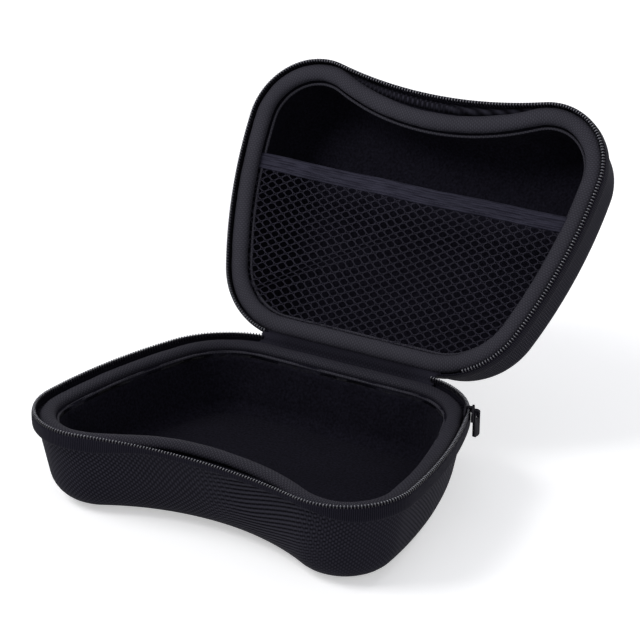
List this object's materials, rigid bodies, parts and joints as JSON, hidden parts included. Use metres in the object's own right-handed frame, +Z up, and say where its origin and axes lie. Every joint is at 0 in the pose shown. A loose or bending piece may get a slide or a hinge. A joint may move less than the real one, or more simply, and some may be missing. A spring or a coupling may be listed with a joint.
{
  "type": "game controller carrying case",
  "caption": "Moulded zip-round carrying case with a waisted outline, deep padded base, hinged lid held open and a net pocket in the lid.",
  "frame": {"origin": "plan centre of the base tray on the flat underside it stands on", "axes": "+X across the case towards the zip slider, +Y towards the hinge, +Z up; the waisted front faces -Y"},
  "size_m": [0.19, 0.2452, 0.1536],
  "materials": {
    "woven_nylon": "matte",
    "lining_cloth": "matte",
    "ribbed_binding": "matte",
    "zip_tape_cloth": "matte",
    "nylon_coil": "satin",
    "net_cord": "matte",
    "elastic_cloth": "matte",
    "slider_metal": "satin"
  },
  "bodies": {
    "base": {"base_shell": "woven_nylon", "base_lining": "lining_cloth", "base_binding": "ribbed_binding", "base_zip_tape": "zip_tape_cloth", "base_zip_teeth": "nylon_coil", "base_hinge_cover": "zip_tape_cloth", "base_hinge_lining": "ribbed_binding", "zip_slider": "slider_metal"},
    "lid": {"lid_shell": "woven_nylon", "lid_lining": "lining_cloth", "lid_binding": "ribbed_binding", "lid_zip_tape": "zip_tape_cloth", "lid_zip_teeth": "nylon_coil", "lid_hinge_cover": "zip_tape_cloth", "lid_hinge_lining": "ribbed_binding", "pocket_net": "net_cord", "pocket_elastic": "elastic_cloth"},
    "pull": {"slider_pull": "slider_metal"}
  },
  "joints": [
    {"name": "lid_hinge", "type": "hinge", "parent": "base", "child": "lid", "pos_m": [0, 0.0702, 0.042], "axis": [1, 0, 0], "range_deg": [-45, 127]},
    {"name": "pull_swing", "type": "hinge", "parent": "base", "child": "pull", "pos_m": [0.08074, 0.04614, 0.042], "axis": [0.4067, -0.9135, 0], "range_deg": [-5, 165]}
  ]
}
